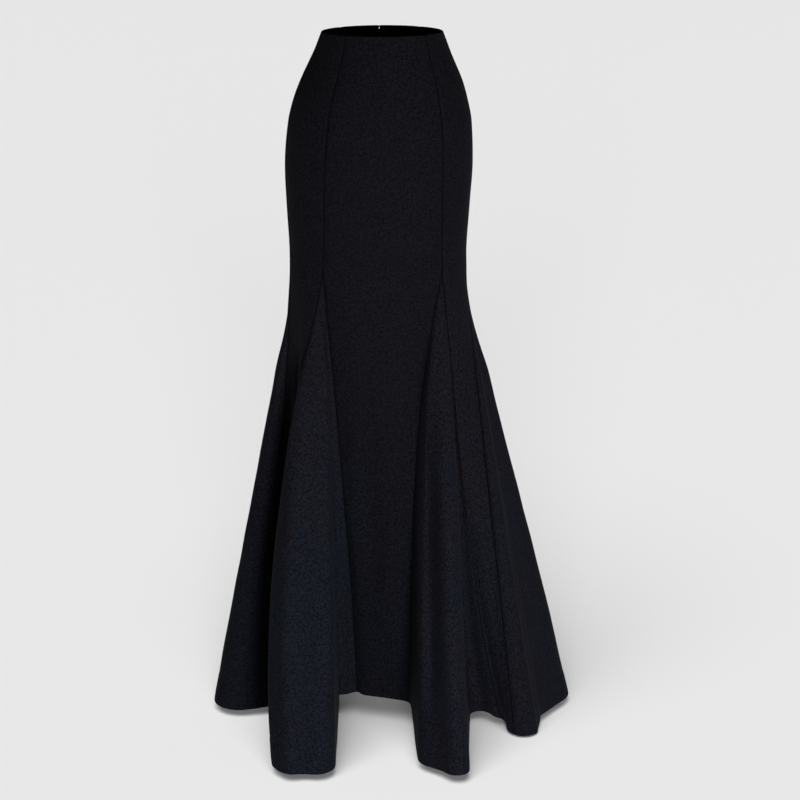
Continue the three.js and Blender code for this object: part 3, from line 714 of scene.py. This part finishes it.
def crease_lines():
    """Each crease as points along it on the bare surface, with its width and its height at each."""
    by_name = {piece["name"]: piece for piece in PIECES}
    lines = []
    for name, start, end, width, height in CREASES:
        s = np.linspace(0, 1, 26)
        points = surface(by_name[name], mix(start[0], end[0], s), mix(start[1], end[1], s))
        fade = 0 if end[1] == 2 else smooth(s, 0.7, 1)  # a crease that reaches the hem doesn't fade
        lines.append((points, width, height * smooth(s, 0, 0.45) * (1 - fade)))
    return lines


def creases_at(points, lines):
    total = np.zeros(points.shape[:-1])
    for line, width, heights in lines:
        low, high = line.min(0) - 3 * width, line.max(0) + 3 * width
        near = ((points > low) & (points < high)).all(-1)
        if not near.any():
            continue
        chosen = points[near]
        start, way = line[:-1], np.diff(line, axis=0)
        t = ((chosen[:, None] - start) * way).sum(-1) / (way * way).sum(-1)
        t = np.clip(t, 0, 1)
        away = np.linalg.norm(chosen[:, None] - start - t[..., None] * way, axis=-1)
        k = away.argmin(1)
        rows = np.arange(len(k))
        height = mix(heights[k], heights[k + 1], t[rows, k])
        total[near] += height * np.exp(-((away[rows, k] / width) ** 2))
    return total


def unevenness(points):
    """Slight waves of several sizes all over the cloth."""
    seeded = np.random.default_rng(7)
    total = np.zeros(points.shape[:-1])
    for _ in range(UNEVEN_WAVES):
        way = seeded.normal(size=3)
        way *= 2 * np.pi / seeded.uniform(*UNEVEN_LENGTHS) / np.linalg.norm(way)
        total += np.sin(points @ way + seeded.uniform(0, 2 * np.pi))
    return total * UNEVEN / math.sqrt(UNEVEN_WAVES / 2)


def pucker(along, phase):
    wave = np.sin(2 * np.pi * along / PUCKER_LENGTH + phase)
    return wave * (0.5 + 0.5 * np.sin(2 * np.pi * along / PUCKER_CHANGE + 2.3 * phase))


def rolled(distance, radius):
    """How far a rounded edge is drawn in, at a distance from it."""
    short = np.clip(1 - distance / radius, 0, 1)
    return 1 - np.sqrt(1 - short**2)


def allowance(distance):
    return 1 - smooth(distance, ALLOWANCE - ALLOWANCE_STEP, ALLOWANCE + ALLOWANCE_STEP)


def shape_cloth(piece, grid, lines):
    """The outer and inner points of the piece."""
    points, normals = grid["points"], grid["normals"]
    steps = np.linalg.norm(np.diff(points, axis=0), axis=2)
    down = np.concatenate([np.zeros((1, points.shape[1])), np.cumsum(steps, 0)])
    to_hem = down[-1] - down
    to_waist = down if not piece["godet"] else np.full_like(down, 1.0)
    relief = creases_at(points, lines) + unevenness(points)
    relief *= smooth(to_waist, 0.002, 0.03)
    for other in PIECES:
        if other["godet"]:
            tip = surface(other, 0.5, 1.0)
            away = np.linalg.norm((points - tip) * (1, 1, POINT_SWELL_SQUASH), axis=2)
            relief += POINT_SWELL * np.exp(-((away / POINT_SWELL_SIZE) ** 2))
    outer, inside = relief.copy(), relief.copy()
    zipped = np.zeros_like(down)
    if piece["name"] in ("back_right", "back_left"):
        zipped = smooth(points[..., 2], *ZIP_FOOT)
    zip_at_last, zip_at_first = piece["name"] == "back_right", piece["name"] == "back_left"
    thick = np.full_like(down, CLOTH)
    for distance, phase, at_zip in (
        (grid["to_first"], 1.0 + len(piece["name"]), zip_at_first),
        (grid["to_last"], 4.0 + len(piece["name"]), zip_at_last),
    ):
        edge = pucker(down, phase) * SEAM_PUCKER
        outer -= (SEAM_DEPTH + edge) * np.exp(-((distance / SEAM_WIDTH) ** 2))
        outer -= EDGE_ROUND * rolled(distance, EDGE_ROUND)
        thick += LAYER * allowance(distance) * (1 - zipped * at_zip)
    hem = 1 - smooth(to_hem, HEM_TURNING - TURNING_STEP, HEM_TURNING + TURNING_STEP)
    waist = 1 - smooth(to_waist, WAIST_TURNING - TURNING_STEP, WAIST_TURNING + TURNING_STEP)
    thick = np.maximum(thick, CLOTH + LAYER * np.maximum(hem, waist * (1 - zipped)))
    outer -= HEM_LINE * np.exp(-(((to_hem - HEM_TURNING) / HEM_LINE_WIDTH) ** 2))
    outer += HEM_FULLNESS * hem * smooth(to_hem, 0.0, 0.01)
    radius = thick / 2
    ends = rolled(np.minimum(to_hem, to_waist), radius)
    outer -= radius * ends
    inner = inside - thick + radius * ends
    inner = np.minimum(inner, outer - 0.0001)
    return points + normals * outer[..., None], points + normals * inner[..., None]


def wall_mesh(name, outer, inner):
    """A closed wall between two grids of points."""
    rows, columns = outer.shape[:2]
    count = rows * columns
    index = np.arange(count).reshape(rows, columns)

    def quads(a, b, c, d):
        return np.stack([a.ravel(), b.ravel(), c.ravel(), d.ravel()], -1)

    a, b, c, d = index[:-1, :-1], index[1:, :-1], index[1:, 1:], index[:-1, 1:]
    rim = np.concatenate([index[0, :-1], index[:-1, -1], index[-1, :0:-1], index[:0:-1, 0]])
    onward = np.roll(rim, -1)
    faces = np.concatenate([
        quads(a, b, c, d),
        quads(a + count, d + count, c + count, b + count),
        quads(rim, onward, onward + count, rim + count),
    ])
    mesh = bpy.data.meshes.new(name)
    points = np.concatenate([outer.reshape(-1, 3), inner.reshape(-1, 3)])
    mesh.from_pydata(points.tolist(), [], faces.tolist())
    mesh.polygons.foreach_set("use_smooth", np.ones(len(faces), bool))
    mesh.set_sharp_from_angle(angle=math.radians(55))
    mesh.validate()
    return mesh


def paint_shade_on_seams(mesh, distance):
    """Paints shade on the outside near the seams, which the crepe's material draws darker, for the shade in
    their grooves.
    """
    near_seam = np.exp(-((distance / PAINTED_SHADE_WIDTH) ** 2)).ravel()
    shade = np.concatenate([1 - PAINTED_SEAM_DARKNESS * near_seam, np.ones(near_seam.size)])
    painted_shade_marks = mesh.attributes.new("painted_seam_shade", "FLOAT", "POINT")
    painted_shade_marks.data.foreach_set("value", shade.astype(np.float32))


def make_cloth(crepe, crepe_front_shaded_copy):
    grids = []
    for piece in PIECES:
        points, to_first, to_last = lay_grid(piece)
        normals = grid_normals(points)
        grids.append({"points": points, "normals": normals, "to_first": to_first, "to_last": to_last})
    share_seam_normals(grids)
    lines = crease_lines()
    for piece, grid in zip(PIECES, grids):
        name = "cloth_" + piece["name"]
        outer, inner = shape_cloth(piece, grid, lines)
        cloth = link(name, wall_mesh(name, outer, inner))
        # the front panel takes the shaded copy, without the flare's painted light
        cloth.data.materials.append(crepe_front_shaded_copy if piece["name"] == "front" else crepe)
        # paints shade along the seams
        paint_shade_on_seams(cloth.data, np.minimum(grid["to_first"], grid["to_last"]))
        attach(cloth, "skirt")
        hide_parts(piece["name"])


# ---------------------------------------------------------------- the zip

TAPE_WIDTH, TAPE_THICKNESS, TAPE_INSET = 0.012, 0.0008, 0.0018
TAPE_TOP, TAPE_END = -0.0037, -0.2257
COIL_RADIUS, COIL_WIRE, COIL_PITCH = 0.0010, 0.00028, 0.00125
COIL_ASIDE, COIL_DEPTH = 0.0014, 0.0040  # its middle, from the seam and from the cloth's outer face
COIL_INSETS = (0.001, 0.003)  # from the tape's upper and lower end
TAPE_COLUMNS = np.array([0, 0.0004, 0.0012, 0.003, 0.005, 0.007, 0.009, 0.0108, 0.0116, TAPE_WIDTH])
TAPE_THINNING = np.array([0.35, 0.1, 0, 0, 0, 0, 0, 0, 0.12, 0.35])  # its edges are rounded
SLIDER = {"width": 0.007, "height": 0.009, "depth": 0.0026}
NECK = {"width": 0.0011, "height": 0.0034}
RING = {"radius": 0.00175, "wire": 0.00045}
RING_REACH = 0.0033
PULL = {
    "length": 0.025, "width": 0.0054, "thickness": 0.001, "bevel": 0.00022, "rim": 0.001,
    "bar": 0.0005, "eye_width": 0.0017, "eye_end": 0.0029, "neck_end": 0.009, "shoulder": 0.012,
}
PULL_TILT = math.radians(9.4)


def make_tape(name, side, tape, coil):
    """The tape and coil on one side of the centre back seam: side is 1 on the right, -1 on the left."""
    z = np.linspace(TAPE_TOP, TAPE_END, 150)
    gap = zip_gap(z)
    turn_per_metre = 180 / np.pi / body_size(z, "half")

    def place(aside, depth):
        turn = 180 - side * (gap + aside) * turn_per_metre
        point = body_point(turn, z)
        across = body_point(turn - side * 1.0, z) - body_point(turn + side * 1.0, z)
        below = body_point(turn, z - 0.001) - body_point(turn, np.minimum(z + 0.001, 0))
        normal = np.cross(below, across) * -side
        normal /= np.linalg.norm(normal, axis=1, keepdims=True)
        if (normal[:, 1] < 0).any():
            normal = -normal
        return point - normal * depth[:, None]

    flat = np.ones_like(z)

    def lay_face(sinks):
        depths = [flat * (TAPE_INSET + TAPE_THICKNESS * sink) for sink in sinks]
        return np.stack([place(aside, depth) for aside, depth in zip(TAPE_COLUMNS, depths)], 1)

    outer, inner = lay_face(TAPE_THINNING), lay_face(1 - TAPE_THINNING)
    if side == 1:
        outer, inner = outer[:, ::-1], inner[:, ::-1]
    strip = link("tape_" + name, wall_mesh("tape_" + name, outer, inner))
    strip.data.materials.append(tape)
    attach(strip, "skirt")
    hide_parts("zip_tape_" + name)

    # the coil, a wire wound along the tape's inner edge
    turns = (TAPE_TOP - TAPE_END - sum(COIL_INSETS)) / COIL_PITCH
    angle = np.linspace(0, 2 * np.pi * turns, int(turns * 12))
    z = np.linspace(TAPE_TOP - COIL_INSETS[0], TAPE_END + COIL_INSETS[1], len(angle))
    gap = zip_gap(z)
    turn_per_metre = 180 / np.pi / body_size(z, "half")
    aside, depth = COIL_RADIUS * 1.1 * np.cos(angle), COIL_RADIUS * np.sin(angle) - COIL_WIRE
    spine = place(COIL_ASIDE + aside, COIL_DEPTH + depth)
    wire = bpy.data.curves.new("coil_" + name, "CURVE")
    wire.dimensions, wire.bevel_depth, wire.bevel_resolution, wire.use_fill_caps = "3D", COIL_WIRE, 1, True
    wire.resolution_u = 1
    line = wire.splines.new("POLY")
    line.points.add(len(spine) - 1)
    line.points.foreach_set("co", np.concatenate([spine, np.ones((len(spine), 1))], 1).ravel())
    wound = link("coil_" + name, wire)
    wire.materials.append(coil)
    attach(wound, "skirt")
    return strip, wound


def box_mesh(name, size, centre, bevel, taper=0.0):
    """A box with rounded edges, narrower towards its lower end by "taper"."""
    x, y, z = (s / 2 for s in size)
    corners = [
        (right * x * (1 - taper * (top < 0)), back * y, top * z)
        for right in (-1, 1)
        for back in (-1, 1)
        for top in (-1, 1)
    ]
    faces = [(0, 1, 3, 2), (4, 6, 7, 5), (0, 4, 5, 1), (2, 3, 7, 6), (0, 2, 6, 4), (1, 5, 7, 3)]
    mesh = bpy.data.meshes.new(name)
    mesh.from_pydata([tuple(np.array(c) + centre) for c in corners], [], faces)
    obj = link(name, mesh)
    round_off = obj.modifiers.new("bevel", "BEVEL")
    round_off.width, round_off.segments, round_off.limit_method = bevel, 3, "NONE"
    return obj


def join(name, parts):
    """One mesh from several, with their modifiers applied."""
    depsgraph = bpy.context.evaluated_depsgraph_get()
    vertices, faces, offset = [], [], 0
    for part in parts:
        mesh = part.evaluated_get(depsgraph).to_mesh()
        vertices += [tuple(part.matrix_world @ v.co) for v in mesh.vertices]
        faces += [tuple(i + offset for i in f.vertices) for f in mesh.polygons]
        offset = len(vertices)
        part.evaluated_get(depsgraph).to_mesh_clear()
    made = bpy.data.meshes.new(name)
    made.from_pydata(vertices, [], faces)
    made.polygons.foreach_set("use_smooth", np.ones(len(faces), bool))
    made.set_sharp_from_angle(angle=math.radians(40))
    for part in parts:
        bpy.data.objects.remove(part)
    return link(name, made)


def make_slider(lacquer):
    """The slider's rounded body inside the skirt, and its neck and ring outside."""
    seat = Vector(body_point(np.asarray(180.0), np.asarray(SLIDER_Z)))
    up = body_point(np.asarray(180.0), np.asarray(SLIDER_Z + 0.001)) - body_point(
        np.asarray(180.0), np.asarray(SLIDER_Z - 0.001)
    )
    slope = math.atan2(-up[1], up[2])
    under = CLOTH + SEAM_GAP + TAPE_THICKNESS + SEAM_GAP
    neck_end = RING_REACH - RING["radius"]
    body = box_mesh(
        "slider_body",
        size=(SLIDER["width"], SLIDER["depth"], SLIDER["height"]),
        centre=(0, -under - SLIDER["depth"] / 2, 0),
        bevel=0.0007,
        taper=0.14,
    )
    rooted = under + 0.001  # the neck reaches this far in, into the body
    neck = box_mesh(
        "slider_neck",
        size=(NECK["width"], neck_end + rooted, NECK["height"]),
        centre=(0, (neck_end - rooted) / 2, 0),
        bevel=0.0003,
    )
    bpy.ops.mesh.primitive_torus_add(
        major_radius=RING["radius"], minor_radius=RING["wire"], major_segments=48, minor_segments=16,
        rotation=(0, math.pi / 2, 0), location=(0, RING_REACH, 0),
    )
    ring = bpy.context.object
    bpy.context.view_layer.update()
    slider = join("zip_slider_metal", [body, neck, ring])
    slider.data.transform(Matrix.Translation(seat) @ Matrix.Rotation(slope, 4, "X"))
    slider.data.materials.append(lacquer)
    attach(slider, "skirt")
    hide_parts("zip_slider")


def make_pull(lacquer):
    """The pull: a flat drop with an eye, its edges rounded."""
    half, neck = PULL["width"] / 2, PULL["eye_width"] / 2 + PULL["rim"]
    curve = bpy.data.curves.new("pull_outline", "CURVE")
    curve.dimensions, curve.fill_mode = "2D", "BOTH"
    curve.extrude = PULL["thickness"] / 2 - PULL["bevel"]
    curve.bevel_depth, curve.bevel_resolution = PULL["bevel"], 3
    curve.offset = -PULL["bevel"]

    def side(sign):
        t = np.linspace(0, 1, 14)[:, None]
        a = np.array([sign * neck, -PULL["eye_end"] - PULL["rim"]])
        b = np.array([sign * neck, -PULL["neck_end"]])
        c = np.array([sign * half, -PULL["shoulder"]])
        d = np.array([sign * half, -PULL["length"] + half])
        return (1 - t) ** 3 * a + 3 * (1 - t) ** 2 * t * b + 3 * (1 - t) * t * t * c + t**3 * d

    a = np.linspace(math.pi, 2 * math.pi, 26)[1:-1]
    foot = np.stack([half * np.cos(a), -PULL["length"] + half + half * np.sin(a)], -1)
    outline = np.concatenate([[(-neck, PULL["bar"])], side(-1), foot, side(1)[::-1], [(neck, PULL["bar"])]])
    eye_half = PULL["eye_width"] / 2
    eye_top, eye_foot = -PULL["bar"], -PULL["eye_end"]
    eye = np.array([(-eye_half, eye_top), (eye_half, eye_top), (eye_half, eye_foot), (-eye_half, eye_foot)])
    for loop in (outline, eye):
        line = curve.splines.new("POLY")
        line.points.add(len(loop) - 1)
        line.points.foreach_set("co", np.concatenate([loop, np.tile((0, 1), (len(loop), 1))], 1).ravel())
        line.use_cyclic_u = True
    outline_object = link("pull_outline", curve)
    bpy.context.view_layer.update()
    pull = join("zip_pull_metal", [outline_object])
    pivot = Vector(frame["joints"][0]["pos_m"])
    pull.data.transform(Matrix.Translation(pivot) @ Matrix.Rotation(math.pi / 2 + PULL_TILT, 4, "X"))
    pull.data.materials.append(lacquer)
    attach(pull, "zip_pull")
    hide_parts("zip_pull")


make_camera()
make_studio()
# painted light: the godets' and side panels' flare is painted lighter than the hip, where it faces up into the
# light, and the front panel's flare, shaded between the flutes, isn't
make_cloth(crepe_material_with_painted_light("crepe", 1.42), crepe_material_with_painted_light("crepe_front_shaded_copy", 1.0))
tape, coil, lacquer = tape_material(), coil_material(), lacquer_material()
for name, side in (("right", 1), ("left", -1)):
    strip, wound = make_tape(name, side, tape, coil)
make_slider(lacquer)
make_pull(lacquer)
